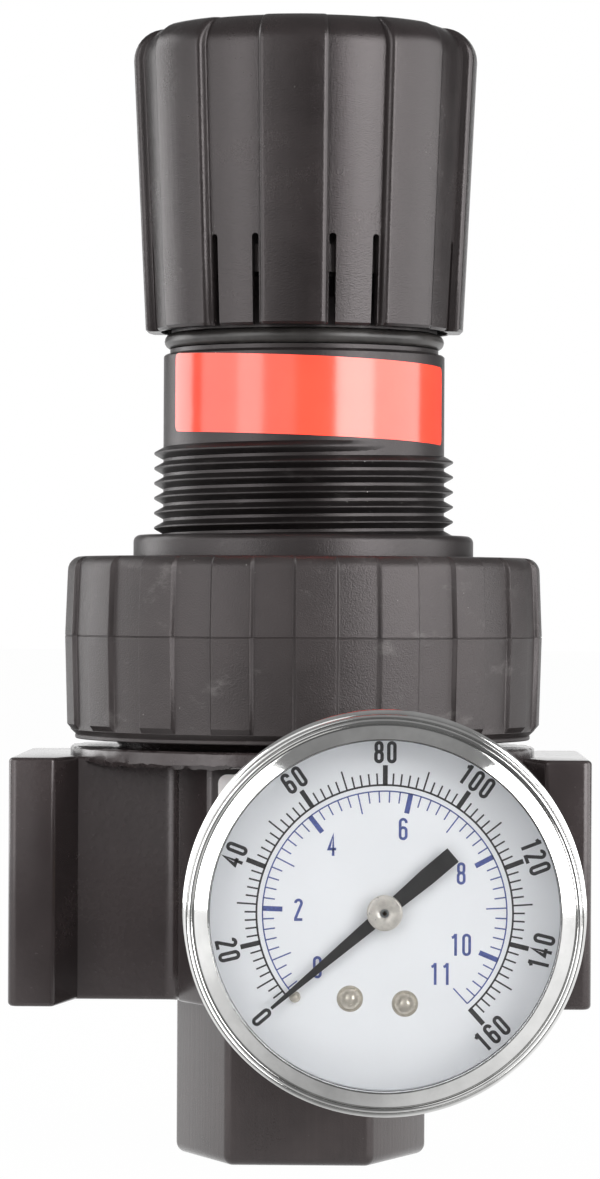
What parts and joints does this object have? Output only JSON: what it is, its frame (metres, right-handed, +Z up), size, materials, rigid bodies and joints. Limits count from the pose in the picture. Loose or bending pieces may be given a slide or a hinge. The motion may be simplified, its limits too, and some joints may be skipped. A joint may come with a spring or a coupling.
{
  "type": "relieving air regulator",
  "caption": "Compressed-air regulator with a push-to-lock adjusting knob, a relieving diaphragm and a round dial pressure gauge on its front.",
  "frame": {"origin": "centre of the bottom plug's flat face, on the axis of the adjusting screw", "axes": "+Z up along the adjusting screw, +X from the inlet to the outlet, -Y towards the gauge's dial"},
  "size_m": [0.0806, 0.0937, 0.1597],
  "materials": {
    "black_plastic": "satin moulded",
    "black_paint": "satin paint on die-cast metal",
    "black_rubber": "satin",
    "orange_label": "glossy film",
    "grey_label": "satin film",
    "chrome": "polished",
    "clear_lens": "clear",
    "white_dial": "matt white paint",
    "black_pointer": "satin",
    "brass": "machined",
    "steel": "zinc plated",
    "nickel": "nickel plated",
    "white_plastic": "satin"
  },
  "bodies": {
    "housing": {"bonnet": "black_plastic", "collar_nut": "black_plastic", "bottom_plug": "black_plastic", "body": "black_paint", "gauge_case": "black_paint", "neck_oring": "black_rubber", "plug_oring": "black_rubber", "diaphragm": "black_rubber", "label_band": "orange_label", "front_plate": "grey_label", "gauge_bezel": "chrome", "gauge_lens": "clear_lens", "gauge_dial": "white_dial", "gauge_socket": "brass", "valve_seat": "brass", "tube_tip": "brass", "bourdon_tube": "brass", "movement_rear_plate": "brass", "movement_front_plate": "brass", "hairspring": "brass", "range_spring": "steel", "valve_spring": "steel", "rear_port_plug": "steel", "dial_screw_left": "nickel", "dial_screw_right": "nickel", "stop_pin": "nickel", "thrust_washer": "white_plastic"},
    "screw": {"adjusting_screw": "steel", "retaining_clip": "steel"},
    "knob": {"knob": "black_plastic"},
    "spring_rest": {"spring_rest": "brass"},
    "valve": {"valve_poppet": "white_plastic", "valve_seal": "black_rubber", "tail_oring": "black_rubber"},
    "diaphragm_assembly": {"diaphragm_plate": "steel", "relief_seat": "brass"},
    "pointer": {"pointer": "black_pointer", "pointer_arbor": "steel"},
    "sector": {"sector_gear": "brass"},
    "link": {"link": "brass"}
  },
  "joints": [
    {"name": "screw_turn", "type": "hinge", "parent": "housing", "child": "screw", "pos_m": [0, 0, 0.115], "axis": [0, 0, 1], "range_deg": [-2160, 0]},
    {"name": "knob_lock", "type": "slide", "parent": "screw", "child": "knob", "axis": [0, 0, 1], "range_m": [-0.0032, 0]},
    {"name": "spring_rest_travel", "type": "slide", "parent": "housing", "child": "spring_rest", "axis": [0, 0, 1], "range_m": [-0.00901, 0], "deforming": ["range_spring"]},
    {"name": "valve_travel", "type": "slide", "parent": "housing", "child": "valve", "axis": [0, 0, 1], "range_m": [-0.0015, 0], "stiffness_N_per_m": 600, "springref_m": 0.004, "deforming": ["valve_spring"]},
    {"name": "diaphragm_lift", "type": "slide", "parent": "valve", "child": "diaphragm_assembly", "axis": [0, 0, 1], "range_m": [0, 0.0008], "stiffness_N_per_m": 200, "springref_m": -0.01, "deforming": ["diaphragm"]},
    {"name": "sector_turn", "type": "hinge", "parent": "housing", "child": "sector", "pos_m": [0.02523, -0.0452, 0.04293], "axis": [0, 1, 0], "range_deg": [-33.56, 0], "stiffness_Nm_per_rad": 0.002, "springref_deg": 5.73},
    {"name": "pointer_turn", "type": "hinge", "parent": "housing", "child": "pointer", "pos_m": [0.0117, -0.052, 0.038], "axis": [0, 1, 0], "range_deg": [0, 268.5]},
    {"name": "link_turn", "type": "hinge", "parent": "sector", "child": "link", "pos_m": [0.03067, -0.0462, 0.04157], "axis": [0, 1, 0], "range_deg": [0, 33.6]}
  ],
  "couplings": [
    {"joint": "spring_rest_travel", "follows": "screw_turn", "m_per_rad": 0.00023873},
    {"joint": "pointer_turn", "follows": "sector_turn", "ratio": -8},
    {"joint": "link_turn", "follows": "sector_turn", "ratio": -1}
  ]
}
